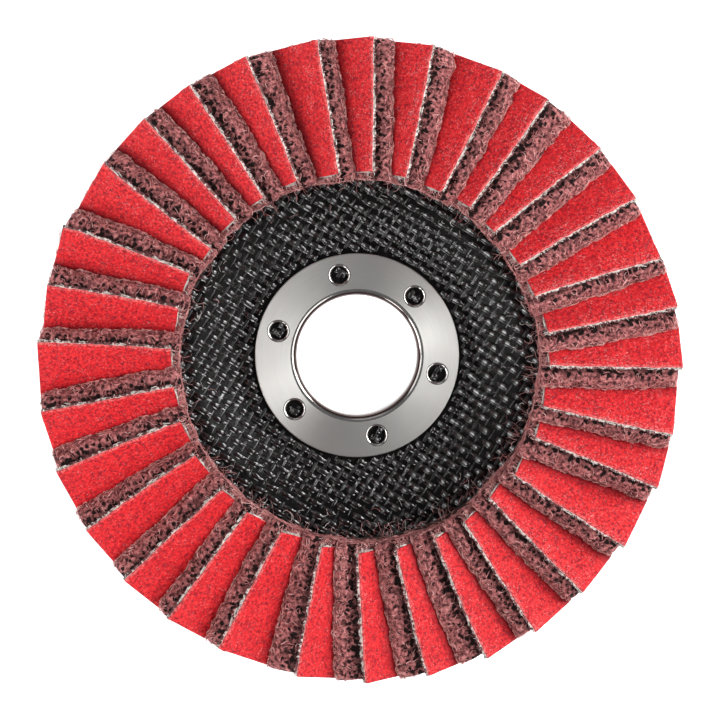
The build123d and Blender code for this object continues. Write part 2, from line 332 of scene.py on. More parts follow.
def resin_material():
    """Black phenolic resin over glass yarns: glossy on the crowns, streaked along the filaments."""
    m, nt, s = new_material("resin_yarn")
    c = coords(nt)
    uv = nt.nodes.new("ShaderNodeUVMap")
    uv.uv_map = "yarn"
    stretch = nt.nodes.new("ShaderNodeMapping")
    stretch.inputs["Scale"].default_value = (4.0, 0.35, 1.0)
    nt.links.new(uv.outputs[0], stretch.inputs[0])
    filaments = noise(nt, stretch.outputs[0], 1.4, 3.0, 0.6)
    blotch = noise(nt, c, 560.0, 3.0, 0.6)
    lump = noise(nt, c, 1150.0, 2.0, 0.6)
    fleck = noise(nt, c, 2600.0, 2.0, 0.6)
    weft = attribute(nt, "weft")
    tint = ramp(nt, blotch, [(0.34, (0.0015, 0.001, 0.001)), (0.58, (0.005, 0.004, 0.0045)), (0.80, (0.020, 0.018, 0.020))])
    nt.links.new(tint, s.inputs["Base Color"])
    # resin lies bright on some stretches and dull on others
    dry = ramp(nt, maths(nt, "MULTIPLY_ADD", fleck, 0.4, maths(nt, "MULTIPLY", blotch, 0.7)), [(0.50, 0.0), (0.70, 0.14)])
    rough = maths(nt, "ADD", dry, maths(nt, "MULTIPLY_ADD", weft, 0.08, 0.17))
    nt.links.new(rough, s.inputs["Roughness"])
    s.inputs["IOR"].default_value = 1.6
    s.inputs["Specular IOR Level"].default_value = 0.85
    height = maths(nt, "ADD", maths(nt, "MULTIPLY", filaments, 0.10), maths(nt, "MULTIPLY_ADD", lump, 0.7, maths(nt, "MULTIPLY", fleck, 0.15)))
    bump(nt, s, height, 0.00012, 0.28)
    return m


def plate_material():
    """The laminate's own face, back and rim: black resin with the cloth showing through."""
    m, nt, s = new_material("black_laminate")
    c = coords(nt)
    turn = nt.nodes.new("ShaderNodeMapping")
    turn.inputs["Rotation"].default_value = (0.0, 0.0, math.radians(-58.0))
    nt.links.new(c, turn.inputs[0])
    sep = nt.nodes.new("ShaderNodeSeparateXYZ")
    nt.links.new(turn.outputs[0], sep.inputs[0])
    u = maths(nt, "SINE", maths(nt, "MULTIPLY", sep.outputs[0], math.pi / 0.00173))
    v = maths(nt, "SINE", maths(nt, "MULTIPLY", sep.outputs[1], math.pi / 0.00164))
    cross = maths(nt, "MULTIPLY", u, v)
    n = noise(nt, c, 900.0, 3.0, 0.6)
    nt.links.new(ramp(nt, n, [(0.30, (0.0012, 0.001, 0.001)), (0.70, (0.006, 0.005, 0.005))]), s.inputs["Base Color"])
    nt.links.new(ramp(nt, n, [(0.30, 0.30), (0.70, 0.50)]), s.inputs["Roughness"])
    s.inputs["Specular IOR Level"].default_value = 0.10
    height = maths(nt, "ADD", maths(nt, "MULTIPLY", maths(nt, "ABSOLUTE", cross), 0.8), n)
    bump(nt, s, height, 0.00016, 0.55)
    return m


def epoxy_material():
    m, nt, s = new_material("dark_epoxy")
    c = coords(nt)
    n = noise(nt, c, 700.0, 3.0, 0.6)
    nt.links.new(ramp(nt, n, [(0.30, (0.020, 0.012, 0.010)), (0.70, (0.095, 0.055, 0.045))]), s.inputs["Base Color"])
    nt.links.new(ramp(nt, n, [(0.30, 0.30), (0.70, 0.60)]), s.inputs["Roughness"])
    bump(nt, s, n, 0.00035, 0.6)
    return m


GRAIN, CLOTH, WEB, FIBRE = grain_material(), cloth_material(), web_material(), fibre_material()
STEEL, RESIN, PLATE, EPOXY = steel_material(), resin_material(), plate_material(), epoxy_material()


# ---------------------------------------------------------------------------
# mesh helpers
# ---------------------------------------------------------------------------
class Build:
    """Collects faces and per-point values for one piece."""

    def __init__(self):
        self.points, self.faces, self.slots, self.smooth = [], [], [], []
        self.values = {}
        self.n = 0

    def add(self, pts, faces, slot=0, smooth=True, **values):
        pts = np.asarray(pts, float).reshape(-1, 3)
        base = self.n
        self.points.append(pts)
        self.n += len(pts)
        for group in faces if isinstance(faces, list) else [faces]:
            group = np.asarray(group, dtype=np.int64)
            if group.size:
                self.faces.append(group + base)
                self.slots.append(slot)
                self.smooth.append(smooth)
        for k, v in values.items():
            self.values.setdefault(k, []).append((base, np.broadcast_to(np.asarray(v, float), (len(pts),)).copy()))
        return base

    def more(self, faces, slot=0, smooth=True):
        """Faces between points that are there already, as arrays or ragged lists."""
        self.faces.append(faces)
        self.slots.append(slot)
        self.smooth.append(smooth)

    def make(self, name, materials, tidy=True):
        pts = np.concatenate(self.points) * MM
        loops, starts, slots, smooth, at = [], [], [], [], 0
        for group, slot, sm in zip(self.faces, self.slots, self.smooth):
            if isinstance(group, np.ndarray):
                k = group.shape[1]
                loops.append(group.ravel())
                starts.append(at + np.arange(len(group)) * k)
                at += group.size
                count = len(group)
            else:
                for f in group:
                    loops.append(np.asarray(f))
                    starts.append(np.array([at]))
                    at += len(f)
                count = len(group)
            slots.append(np.full(count, slot))
            smooth.append(np.full(count, sm))
        loops, starts = np.concatenate(loops), np.concatenate(starts)
        me = bpy.data.meshes.new(name)
        me.vertices.add(len(pts))
        me.vertices.foreach_set("co", pts.ravel())
        me.loops.add(len(loops))
        me.loops.foreach_set("vertex_index", loops.astype(np.int32))
        me.polygons.add(len(starts))
        me.polygons.foreach_set("loop_start", starts.astype(np.int32))
        me.polygons.foreach_set("material_index", np.concatenate(slots).astype(np.int32))
        me.polygons.foreach_set("use_smooth", np.concatenate(smooth).astype(bool))
        me.update(calc_edges=True)
        for k, parts in self.values.items():
            full = np.zeros(len(pts))
            for base, v in parts:
                full[base:base + len(v)] = v
            me.attributes.new(k, "FLOAT", "POINT").data.foreach_set("value", full)
        for m in materials:
            me.materials.append(m)
        if tidy:
            bm = bmesh.new()
            bm.from_mesh(me)
            bmesh.ops.recalc_face_normals(bm, faces=bm.faces)
            bm.to_mesh(me)
            bm.free()
        me.validate()
        ob = bpy.data.objects.new(name, me)
        bpy.context.scene.collection.objects.link(ob)
        return ob


def grid_faces(nu, nv):
    i = np.arange(nu * nv).reshape(nu, nv)
    return np.stack([i[:-1, :-1], i[1:, :-1], i[1:, 1:], i[:-1, 1:]], -1).reshape(-1, 4)


def unit(v):
    return v / np.maximum(np.linalg.norm(v, axis=-1, keepdims=True), 1e-9)


def tubes(build, path, radius, slot=0, **values):
    """Round strands with pointed ends. path is (strands, points, 3), radius (strands,)."""
    s, k, _ = path.shape
    t = unit(np.gradient(path, axis=1))
    ref = unit(rng.normal(size=(s, 1, 3)))
    a = unit(np.cross(t, ref))
    b = np.cross(t, a)
    w = np.full(k, 1.0)
    w[0] = w[-1] = 0.0
    turn = 2 * np.pi * np.arange(3) / 3
    inner = path[:, 1:-1, None, :] + radius[:, None, None, None] * w[None, 1:-1, None, None] * (
        np.cos(turn)[None, None, :, None] * a[:, 1:-1, None, :] + np.sin(turn)[None, None, :, None] * b[:, 1:-1, None, :])
    per = (k - 2) * 3 + 2
    pts = np.concatenate([inner.reshape(s, -1, 3), path[:, :1], path[:, -1:]], axis=1)
    off = np.arange(s)[:, None, None] * per
    ring = np.arange((k - 2) * 3).reshape(k - 2, 3)
    nxt = np.roll(ring, -1, axis=1)
    quads = np.stack([ring[:-1], ring[1:], nxt[1:], nxt[:-1]], -1).reshape(1, -1, 4) + off
    first, last = per - 2, per - 1
    tri = np.concatenate([np.stack([np.full(3, first), ring[0], nxt[0]], -1),
                          np.stack([np.full(3, last), nxt[-1], ring[-1]], -1)]).reshape(1, -1, 3) + off
    vals = {n: np.repeat(np.broadcast_to(np.asarray(v, float), (s,)), per) for n, v in values.items()}
    build.add(pts.reshape(-1, 3), [quads.reshape(-1, 4), tri.reshape(-1, 3)], slot, True, **vals)


def field(shape, passes):
    """Seeded white noise, smoothed a number of times, with a spread of 1."""
    g = rng.normal(size=shape)
    for _ in range(passes):
        for axis in range(g.ndim):
            g = (np.roll(g, 1, axis) + 2 * g + np.roll(g, -1, axis)) / 4
    return g / g.std()


# ---------------------------------------------------------------------------
# the flaps' lines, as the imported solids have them
# ---------------------------------------------------------------------------
def lean(r):
    return math.radians(62.0 - 0.455 * r)


def angle_at(angle_in, angle_out, r):
    a, b = math.radians(angle_in), math.radians(angle_out)
    p = (GAUGE_IN * math.sin(a), GAUGE_IN * math.cos(a))
    q = (GAUGE_OUT * math.sin(b), GAUGE_OUT * math.cos(b))
    length = math.hypot(q[0] - p[0], q[1] - p[1])
    d = ((q[0] - p[0]) / length, (q[1] - p[1]) / length)
    half = p[0] * d[0] + p[1] * d[1]
    t = -half + math.sqrt(half * half - (p[0] ** 2 + p[1] ** 2) + r * r)
    return math.atan2(p[0] + t * d[0], p[1] + t * d[1])


def wrap(a):
    return (a + math.pi) % (2 * math.pi) - math.pi


def stations(i, r):
    th = lean(r)
    cut = angle_at(cut_in[i], cut_out[i], r)
    j = (i - 1) % COUNT
    run = wrap(cut - angle_at(lip_in[j], lip_out[j], r)) * r
    a = (cut - (TOP_Z - ROOT_Z) / math.tan(th) / r, ROOT_Z)
    b = (cut - run / r, TOP_Z - run * math.tan(th))
    c = (cut, TOP_Z)
    d = (cut + COAT_T * math.sin(th) / r, TOP_Z - COAT_T * math.cos(th))
    e = (a[0] + COAT_T / math.sin(th) / r, ROOT_Z)
    return dict(zip("ABCDE", (np.array([r * math.sin(g), r * math.cos(g), z]) for g, z in (a, b, c, d, e))))


LINES = [(stations(i, R0), stations(i, R1)) for i in range(COUNT)]


def on_line(i, key, e, t, start, end, skew, q, limit=58.9):
    """Points at shares q of the way from the inner to the outer end of a line,
    which is cut square but for its skew and goes no further out than limit."""
    p0, p1 = LINES[i][0][key], LINES[i][1][key]
    d = (p1 - p0)[:2]
    n1 = e - math.tan(math.radians(skew)) * t
    s0 = (start - p0[:2] @ e) / (d @ e)
    s1 = (end - p0[:2] @ n1) / (d @ n1)
    a, b, c = d @ d, 2 * (p0[:2] @ d), p0[:2] @ p0[:2] - limit * limit
    s1 = min(s1, (-b + math.sqrt(b * b - 4 * a * c)) / (2 * a))
    return p0 + np.outer(s0 + (s1 - s0) * q, p1 - p0)


def axes_of(a, b):
    mid = a + wrap(b - a) / 2
    return np.array([math.sin(mid), math.cos(mid)]), np.array([math.cos(mid), -math.sin(mid)])


def bowed(p, t, q, amount, slope=0.0):
    w = amount * 4 * q * (1 - q)
    p = p.copy()
    p[:, 0] += w * t[0]
    p[:, 1] += w * t[1]
    p[:, 2] += w * slope
    return p


# ---------------------------------------------------------------------------
# coated flaps
# ---------------------------------------------------------------------------
def coated_flap(i):
    j = (i - 1) % COUNT
    e, t = axes_of(angle_at(lip_in[j], lip_out[j], 45.0), angle_at(cut_in[i], cut_out[i], 45.0))
    start, end, skew = coated_start[i], coated_end[i], coated_skew[i]
    nu, nv, hidden = 94, 28, 2
    q = np.linspace(0, 1, nu)
    line = {k: on_line(i, k, e, t, start, end, skew, q) for k in "BCD"}
    line.update({k: on_line(i, k, e, t, start, end, 0.0, q, 57.6) for k in "AE"})
    edge_wave = 0.030 * field((nu,), 2) + 0.035 * field((nu,), 14)
    for k in "CD":
        line[k] = bowed(line[k], t, q, cut_bow[i])
        line[k][:, 0] += edge_wave * t[0]
        line[k][:, 1] += edge_wave * t[1]
    A, B, C, D, E = (line[k] for k in "ABCDE")
    along = unit(np.gradient(C, axis=0))
    up_slope = unit(C - A)
    normal = unit(np.cross(along, up_slope))
    normal *= np.sign(normal[:, 2:3])
    share = np.linalg.norm(B - A, axis=1) / np.linalg.norm(C - A, axis=1)
    low = np.clip(share - 0.10, 0.05, 0.9)
    cols = [low * f for f in (0.0, 0.5)] + [low + (1 - low) * f for f in np.linspace(0, 1, nv)]
    w = np.stack(cols, 1)
    # from the root to the line where the lip before it ends, and on to the free edge
    under = np.clip(w / share[:, None], 0, 1)[..., None]
    shown = np.clip((w - share[:, None]) / (1 - share[:, None]), 0, 1)[..., None]
    top = A[:, None] + under * (B - A)[:, None] + shown * (C - B)[:, None]
    bumps = 0.040 * field((nu, nv), 1) + 0.026 * field((nu, nv), 0) + 0.045 * field((nu, nv), 40)
    bumps[:, 0] = 0
    bumps[:, -1] *= 0.5
    lift = np.zeros((nu, nv + hidden))
    lift[:, hidden:] = bumps
    lift = np.minimum(lift, 0.14)
    top = top + lift[..., None] * normal[:, None]
    n_cols = nv + hidden
    b = Build()
    dist = (1 - w) * np.linalg.norm(C - A, axis=1)[:, None]
    # painted light and shade: the upper right-hand flaps get more pale specks by the cut (a painted glint of raking
    # light over real dust) and a paler, steadier line of cloth, while the other flaps' cloth edges are painted darker
    side = math.radians(cut_in[i] - 65.0)
    right = 0.5 + 0.5 * math.cos(side)
    rim = np.clip(1 - dist / 0.24, 0, 1)
    dust = np.clip(1 - dist / (1.2 + 2.6 * right), 0, 1) * (0.25 + 0.75 * right) + 0.25 * right
    # painted shade: the deep value darkens the red near the lip of the flap before, most on flaps cut near 148° and
    # 328°, standing in for the lip's shadow
    from_lip = (w - share[:, None]) * np.linalg.norm(C - A, axis=1)[:, None]
    painted_shade_by_angle = min(max(0.50 - 0.60 * math.cos(2 * math.radians(cut_in[i] - 58.0)), 0.0), 1.0)
    deep = np.clip(1.1 - from_lip / 2.0, 0, 1) * painted_shade_by_angle
    b.add(top, grid_faces(nu, n_cols), 0, True, rim=rim.ravel(), dust=dust.ravel(), deep=deep.ravel())
    edge0 = np.arange(nu) * n_cols + n_cols - 1
    root0 = np.arange(nu) * n_cols

    def row(points, **v):
        base = b.add(points, [], 1, True, **v)
        return base + np.arange(nu)

    def strip(r1, r2, slot, smooth=True):
        b.more(np.stack([r1[:-1], r1[1:], r2[1:], r2[:-1]], -1), slot, smooth)

    # the cut edge: the grain layer, then the cloth, a little ragged
    thick = D - C
    rough1, rough2 = (np.abs(field((nu,), 0)) for _ in range(2))
    # how dark the cloth's cut edge is along its length: noise for dirt and grain over it, and darker on the flaps away
    # from the upper right, as painted shade
    edge_darkening = 0.62 - 0.95 * right + 0.42 * field((nu,), 6) + 0.16 * field((nu,), 1)
    # the cloth's yarn ends make beads about a millimetre apart, dark between them
    far = q * np.linalg.norm(C[-1] - C[0])
    at_bead = np.cumsum(rng.uniform(0.52, 1.15, 40))
    tall, broad = rng.uniform(0.30, 1.0, 40), rng.uniform(0.24, 0.44, 40)
    bead = np.max(tall[:, None] * np.clip(1.15 - np.abs(far[None] - at_bead[:, None]) / broad[:, None], 0, 1), axis=0)
    m0 = row(C + 0.38 * thick + up_slope * (0.02 * field((nu,), 1))[:, None], rim=0.35, dust=0.6)
    # painted shade over dirt: each row lower down the cut edge, and the rows under the flap, are darker; the yarn
    # beads stay pale
    m0b = row(C + 0.42 * thick + up_slope * (0.01 + 0.04 * rough1)[:, None], soil=edge_darkening * 0.8 + 0.52 - 0.8 * bead)
    m1 = row(C + (0.50 + 0.10 * bead)[:, None] * thick + up_slope * (0.24 * bead - 0.10)[:, None], soil=edge_darkening * 0.5 + 0.84 - 1.30 * bead)
    m2 = row(C + 0.74 * thick + up_slope * (0.25 * bead - 0.22 + 0.03 * rough2)[:, None], soil=edge_darkening * 0.5 + 1.08 - 1.35 * bead)
    d0 = row(D, soil=1.05 - 0.6 * bead)
    e0 = row(E, soil=1.0)
    a1 = row(A + 0.36 * (E - A), soil=1.0)
    strip(edge0, m0, 0)
    for r1, r2 in ((m0, m0b), (m0b, m1), (m1, m2), (m2, d0)):
        strip(r1, r2, 1)
    strip(d0, e0, 1)
    strip(e0, a1, 1, False)
    strip(a1, root0, 0, False)
    for k in (0, nu - 1):
        line_top = k * n_cols + np.arange(n_cols)
        b.more([list(line_top) + [m0[k], a1[k]]], 0, False)
        b.more([[a1[k], m0[k], m0b[k], m1[k], m2[k], d0[k], e0[k]]], 1, False)
    body = b

    # frayed cloth: yarn ends across the edge, loose lengths along it
    length = np.linalg.norm(C[-1] - C[0])

    def spot(qq, depth):
        f = qq * (nu - 1)
        k = np.clip(f.astype(int), 0, nu - 2)
        fr = (f - k)[:, None]
        p = C[k] * (1 - fr) + C[k + 1] * fr
        th = thick[k]
        return p + depth[:, None] * th, along[k], up_slope[k], normal[k]

    def fray(n, qq, kind, thick_r=(0.040, 0.075), reach_to=0.62):
        depth = rng.uniform(0.45, 0.85, n)
        p, al, up, nm = spot(qq, depth)
        if kind == "end":
            reach = np.minimum(rng.gamma(2.2, 0.11, n), reach_to)[:, None]
            side = rng.normal(0, 0.45, (n, 1))
            raise_ = rng.normal(0.05, 0.35, (n, 1))
            s = np.linspace(-0.15, 1, 4)
            path = p[:, None] + s[None, :, None] * (reach * (up + side * al + raise_ * nm))[:, None]
            curl = rng.normal(0, 0.06, (n, 1, 3)) * (s[None, :, None] ** 2)
            tubes(body, path + curl, rng.uniform(*thick_r, n), 1, soil=-0.3)
        else:
            ln = rng.uniform(0.3, 1.25, n)
            s = np.linspace(-0.5, 0.5, 6)
            out = rng.uniform(0.02, 0.16, n)
            wob = np.cumsum(rng.normal(0, 0.05, (n, 6, 2)), axis=1)
            path = (p[:, None] + (s[None, :, None] * ln[:, None, None]) * al[:, None]
                    + (out[:, None] + wob[..., 0])[..., None] * up[:, None] + wob[..., 1][..., None] * nm[:, None])
            tubes(body, path, rng.uniform(*thick_r, n), 1, soil=-0.3)

    # yarn ends stand out of the edge at the cloth's pitch
    ends = np.arange(0.3, length, 0.50)
    ends = np.repeat(ends, 2) + rng.normal(0, 0.08, 2 * len(ends))
    show = np.interp(ends / length, q, np.clip(1.05 - edge_darkening, 0.12, 0.9))
    qq = np.clip(ends[rng.random(len(ends)) < 0.75 * show] / length, 0.002, 0.998)
    fray(len(qq), qq, "end")
    # tufts: short lengths lying together, most of them where the edge is least even
    tufts = rng.uniform(0.03, 0.985, rng.poisson(4.0 + 7.0 * (1 - right)))
    if len(tufts):
        each = rng.integers(2, 6, len(tufts))
        qq = np.repeat(tufts, each) + rng.normal(0, 0.011, each.sum())
        fray(len(qq), np.clip(qq, 0.01, 0.99), "lie", (0.055, 0.120))
    corner = np.concatenate([rng.uniform(0.975, 0.999, 6), rng.uniform(0.001, 0.022, 7)])
    fray(len(corner), corner, "end", (0.055, 0.105))

    # threads that hang out of the inner end, and the cloth's own edge along it
    inward = np.array([-e[0], -e[1], 0.0])
    n = 7
    dp = rng.uniform(0.2, 0.9, n)
    f = rng.uniform(0.0, 1.0, n) ** 0.6
    at = (B[0] + (C[0] - B[0]) * f[:, None]) + dp[:, None] * thick[0]
    s = np.linspace(-0.2, 1, 6)
    reach = rng.uniform(0.25, 1.0, n)[:, None, None]
    slide = rng.normal(0, 0.8, (n, 1, 1)) * np.array([t[0], t[1], 0.0])
    path = at[:, None] + reach * s[None, :, None] * (inward + 0.5 * slide) + np.cumsum(rng.normal(0, 0.05, (n, 6, 3)), 1)
    path[..., 2] = np.minimum(path[..., 2], 19.2)
    tubes(body, path, rng.uniform(0.040, 0.070, n), 1, soil=-0.3)
    n = 4
    lo = rng.uniform(-0.02, 0.45, n)
    hi = lo + (1.0 - lo) * rng.uniform(0.55, 1.0, n)
    s = np.linspace(0, 1, 8)
    f = lo[:, None] + (hi - lo)[:, None] * s
    path = (B[0] + f[..., None] * (C[0] - B[0]) + rng.uniform(0.05, 0.45, (n, 1, 1)) * thick[0]
            + (rng.uniform(0.03, 0.24, (n, 1)) + np.cumsum(rng.normal(0, 0.035, (n, 8)), 1))[..., None] * inward)
    path[..., 2] = np.minimum(path[..., 2], 19.2)
    tubes(body, path, rng.uniform(0.065, 0.105, n), 1, soil=-0.2)

    ob = body.make("coated_flap_%02d" % (i + 1) + "_looks", [GRAIN, CLOTH])
    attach(ob, "root")
    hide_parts("coated_flap_%02d" % (i + 1))


# ---------------------------------------------------------------------------
# nonwoven flaps
# ---------------------------------------------------------------------------
# the cut face from the cloth down to the lip: share of the way, and how far it stands out
PROFILE = np.array([(0.00, -0.02), (0.03, -0.80), (0.09, -1.20), (0.17, -1.25), (0.26, -0.90), (0.36, -0.36),
                    (0.46, 0.02), (0.58, 0.26), (0.69, 0.36), (0.80, 0.36), (0.89, 0.25), (0.96, 0.08), (1.00, -0.03)])


class Patch:
    """A grid of points with normals, read at any share of the way across and along."""

    def __init__(self, grid, normals):
        self.g, self.n = grid, normals
        self.lu = np.linalg.norm(np.diff(grid[:, grid.shape[1] // 2], axis=0), axis=1).sum()
        self.lv = np.linalg.norm(np.diff(grid[grid.shape[0] // 2], axis=0), axis=1).sum()

    def at(self, u, v, h):
        nu, nv = self.g.shape[:2]
        fu, fv = u * (nu - 1), v * (nv - 1)
        iu, iv = np.clip(np.floor(fu).astype(int), 0, nu - 2), np.clip(np.floor(fv).astype(int), 0, nv - 2)
        du, dv = (fu - iu)[..., None], (fv - iv)[..., None]
        g = (self.g[iu, iv] * (1 - du) * (1 - dv) + self.g[iu + 1, iv] * du * (1 - dv)
             + self.g[iu, iv + 1] * (1 - du) * dv + self.g[iu + 1, iv + 1] * du * dv)
        return g + h[..., None] * self.n[np.clip(iu, 0, nu - 1), np.clip(iv, 0, nv - 1)]


def strands(build, patch, count, v_of, tone_of, k=5, step=(0.26, 0.50), thick=(0.036, 0.066),
            rise=(0.0, 0.30), over_u=0.22, v_lim=(0.02, 1.04), turn=1.5):
    """Curly fibres over a patch, each a short wandering path."""
    u0 = rng.uniform(0, 1, count)
    v0 = v_of(count)
    heading = rng.uniform(0, 2 * np.pi, count)
    bend = rng.normal(0, turn, count)
    ds = rng.uniform(*step, count)
    swing = np.cumsum(rng.normal(0, 0.35, (count, k)), axis=1) + bend[:, None] * ds[:, None] * np.arange(k)
    ang = heading[:, None] + swing
    u = u0[:, None] + np.cumsum(np.cos(ang) * ds[:, None], axis=1) / patch.lu
    v = v0[:, None] + np.cumsum(np.sin(ang) * ds[:, None], axis=1) / patch.lv
    u -= (u.mean(1) - u0)[:, None]
    v -= (v.mean(1) - v0)[:, None]
    u = np.clip(u, -over_u / patch.lu, 1 + over_u / patch.lu)
    v = np.clip(v, *v_lim)
    s = np.linspace(0, 1, k)
    h = rng.uniform(-0.10, 0.12, (count, 1)) + rng.uniform(*rise, (count, 1)) * np.sin(np.pi * s)[None]
    h = h + rng.normal(0, 0.035, h.shape)
    path = patch.at(u, v, h)
    path[..., 2] = np.minimum(path[..., 2], TOP_Z + 0.25)
    tubes(build, path, rng.uniform(*thick, count), 1, tone=tone_of(v0))


def nonwoven_flap(b, i):
    k = (i + 1) % COUNT
    e, t = axes_of(angle_at(cut_in[i], cut_out[i], 45.0), angle_at(lip_in[i], lip_out[i], 45.0))
    start, end, skew = coated_start[i] - NONWOVEN_PROUD, nonwoven_end[i], nonwoven_skew[i]
    nu = 72
    q = np.linspace(0, 1, nu)
    D = on_line(i, "D", e, t, start, end, skew, q)
    B = on_line(k, "B", e, t, start, end, skew, q)
    E = on_line(i, "E", e, t, start, end, 0.0, q, 57.4)
    A = on_line(k, "A", e, t, start, end, 0.0, q, 57.4)
    D = bowed(D, t, q, cut_bow[i])
    slope = math.tan(lean(45.0))
    B = bowed(B, t, q, lip_bow[i], slope)
    wave = 0.10 * field((nu,), 10) + 0.06 * field((nu,), 2)
    B = B + wave[:, None] * np.array([t[0], t[1], slope])
    # the face between the cloth and the lip
    along = unit(np.gradient(D, axis=0))
    across = B - D
    normal = unit(np.cross(across, along))
    normal *= np.sign(normal[:, 2:3])
    f, g = PROFILE[:, 0], PROFILE[:, 1]
    nv = len(f)
    pull = np.minimum(q, 1 - q) * np.linalg.norm(D[-1] - D[0])
    ends = np.clip(1 - pull / 0.9, 0, 1) ** 2
    pits = field((nu, nv), 1)
    depth = np.interp(f, [0, 0.1, 0.35, 0.6, 1.0], [0.03, 0.34, 0.30, 0.15, 0.06])
    out = g[None] + pits * depth[None] * 0.8 - 0.42 * ends[:, None]
    out[:, 0] = -0.02
    face = D[:, None] + f[None, :, None] * across[:, None] + out[..., None] * normal[:, None]
    face[..., 2] = np.minimum(face[..., 2], TOP_Z - 0.2)
    smoothed = D[:, None] + f[None, :, None] * across[:, None] + (g[None] - 0.42 * ends[:, None])[..., None] * normal[:, None]
    smoothed[..., 2] = np.minimum(smoothed[..., 2], TOP_Z - 0.25)
    low = np.stack([B + 0.5 * (A - B), A, E, E + 0.5 * (D - E)], 1)
    ring = np.concatenate([face, low], axis=1)
    # draw both ends in a little, so that they are rounded
    centre = ring.mean(axis=1, keepdims=True)
    for idx, amount in ((0, 0.10), (1, 0.03), (nu - 1, 0.10), (nu - 2, 0.03)):
        ring[idx] = ring[idx] + (centre[idx] - ring[idx]) * amount
    m = ring.shape[1]
    base = b.n
    # painted shade with pores: the web is darkened beside the cloth, where it lies recessed under the cut edge, and
    # less towards the lip
    pores_and_shade_level = np.zeros((nu, m))
    pores_and_shade_level[:, :nv] = np.interp(f, [0, 0.03, 0.24, 0.38, 0.52, 1.0], [0.9, 1.0, 0.95, 0.60, 0.28, 0.12])[None]
    idx = np.arange(nu * m).reshape(nu, m)
    nxt = np.roll(idx, -1, axis=1)
    quads = np.stack([idx[:-1], idx[1:], nxt[1:], nxt[:-1]], -1).reshape(-1, 4)
    b.add(ring, quads, 0, True, open=pores_and_shade_level.ravel())
    b.more([list(base + idx[0]), list((base + idx[-1])[::-1])], 0, False)

    # fibres
    nrm = np.repeat(normal[:, None], nv, axis=1)
    cut_face = Patch(smoothed, nrm)
    # fibre tone is random about a trend: darker towards the cloth and paler on the lip's crest, which is painted shade
    # in the recess and painted light on the lip
    lip_tone_and_painted_light = lambda v: np.clip(0.22 + 0.50 * v + 0.22 * np.clip((v - 0.86) / 0.1, 0, 1) + rng.normal(0, 0.36, len(v)), 0.0, 1.0)
    recess_tone_and_painted_shade = lambda v: np.clip(0.32 + 0.60 * v + rng.normal(0, 0.28, len(v)), 0.0, 1.0)
    strands(b, cut_face, 285, lambda n: 1 - np.abs(rng.normal(0, 0.25, n)) - 0.01, lip_tone_and_painted_light, rise=(0.0, 0.36), thick=(0.040, 0.090))
    strands(b, cut_face, 30, lambda n: rng.uniform(0.08, 0.50, n), recess_tone_and_painted_shade, step=(0.30, 0.5), rise=(0.1, 0.7), thick=(0.045, 0.085))
    # the inner ends stand proud of the coated flaps, and their fuzz makes a ring
    reach = np.array([0.0, 0.25, 0.5, 0.75, 1.0]) * 1.75
    s_end = q[:12]
    back = unit(np.cross(along[:12], (E - D)[:12]))
    back *= np.sign(back[:, 2:3])
    lee = D[:12, None] + np.linspace(0, 0.62, 6)[None, :, None] * (E - D)[:12, None]
    inner_n = np.repeat(back[:, None], 6, axis=1)
    near = int(np.searchsorted(q * np.linalg.norm(D[-1] - D[0]), 1.55)) + 1
    inner = Patch(lee[:near], inner_n[:near])
    tone_ring = lambda v: np.clip(0.78 - 0.20 * v + rng.normal(0, 0.22, len(v)), 0.05, 1.0)
    strands(b, inner, 70, lambda n: rng.uniform(0, 1, n), tone_ring, rise=(0.05, 0.7), over_u=0.45, v_lim=(-0.05, 1.0))
    for side, station, count in ((-1, 0, 64), (1, nu - 1, 52)):
        top_line = smoothed[station]
        bottom = E[station] + (A[station] - E[station]) * f[:, None]
        depth_rows = np.linspace(0, 1.0, 7)
        end_grid = top_line[None] + depth_rows[:, None, None] * (bottom - top_line)[None]
        nn = np.broadcast_to(np.array([e[0], e[1], 0.12]) * side * np.array([1, 1, side]), end_grid.shape)
        cap = Patch(end_grid, nn)
        strands(b, cap, count, lambda n: rng.uniform(0.02, 0.98, n),
                lambda v: np.clip((0.72 if side < 0 else 0.58) + rng.normal(0, 0.22, len(v)), 0.05, 1.0),
                rise=(0.0, 0.28), over_u=0.05, v_lim=(0.0, 1.0))


# ---------------------------------------------------------------------------
# woven face of the plate: resin-coated yarns, over and under
# ---------------------------------------------------------------------------
PITCH_A, PITCH_B = 1.73, 1.64
HOLES = [(15.15 * math.sin(math.radians(a)), 15.15 * math.cos(math.radians(a)))
         for a in (347.6, 44.2, 102.9, 166.1, 229.4, 287.4)]


def plate_front(r):
    """Height of the plate's front face, with its bends."""
    return 3.0 + np.interp(r, [21.6, 22.1, 22.9, 29.5, 30.3, 31.0], [0.0, 0.10, 0.42, 4.08, 4.42, 4.5])


